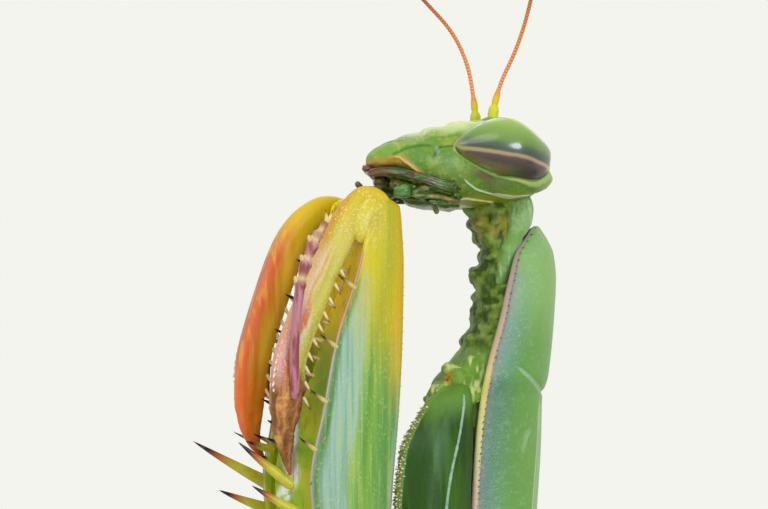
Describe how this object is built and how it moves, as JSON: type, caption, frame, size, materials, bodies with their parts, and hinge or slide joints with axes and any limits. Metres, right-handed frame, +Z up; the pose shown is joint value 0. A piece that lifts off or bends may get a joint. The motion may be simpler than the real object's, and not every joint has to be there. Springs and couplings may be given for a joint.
{
  "type": "praying mantis",
  "caption": "Adult female praying mantis standing reared up, upright prothorax, face turned up, spined forelegs folded in front of the chest, wings closed over the abdomen.",
  "frame": {"origin": "on the floor, under the middle of the animal's bounding box", "axes": "+Z up, the animal faces -X, its left side is towards -Y"},
  "size_m": [0.0556, 0.0528, 0.0612],
  "materials": {
    "cuticle_green": "satin, waxy green cuticle",
    "membrane": "soft wrinkled skin",
    "eye": "smooth, finely faceted, green over purple brown",
    "foreleg": "waxy, yellow at the knee to green at the base",
    "fore_tibia": "waxy, yellow to orange and red brown",
    "tarsus": "dull red brown",
    "antenna": "dull orange brown, finely ringed",
    "wing": "parchment-like, net veined",
    "walking_leg": "satin green"
  },
  "bodies": {
    "root": {"head": "cuticle_green", "eye_left": "eye", "eye_right": "eye", "antenna_left": "antenna", "antenna_right": "antenna", "mouthparts": "cuticle_green", "neck": "membrane", "pronotum": "cuticle_green", "prothorax": "membrane", "fore_coxa_left": "cuticle_green", "fore_coxa_right": "cuticle_green", "fore_trochanter_left": "cuticle_green", "fore_trochanter_right": "cuticle_green", "fore_femur_left": "foreleg", "fore_femur_right": "foreleg", "fore_tibia_left": "fore_tibia", "fore_tibia_right": "fore_tibia", "fore_tarsus_left": "tarsus", "fore_tarsus_right": "tarsus", "pterothorax": "cuticle_green", "abdomen": "cuticle_green", "cercus_left": "walking_leg", "cercus_right": "walking_leg", "tegmen_left": "wing", "tegmen_right": "wing", "hindwing_left": "wing", "hindwing_right": "wing", "mid_coxa_left": "walking_leg", "mid_coxa_right": "walking_leg", "mid_femur_left": "walking_leg", "mid_femur_right": "walking_leg", "mid_tibia_left": "walking_leg", "mid_tibia_right": "walking_leg", "mid_tarsus_left": "walking_leg", "mid_tarsus_right": "walking_leg", "hind_coxa_left": "walking_leg", "hind_coxa_right": "walking_leg", "hind_femur_left": "walking_leg", "hind_femur_right": "walking_leg", "hind_tibia_left": "walking_leg", "hind_tibia_right": "walking_leg", "hind_tarsus_left": "walking_leg", "hind_tarsus_right": "walking_leg"}
  },
  "joints": []
}
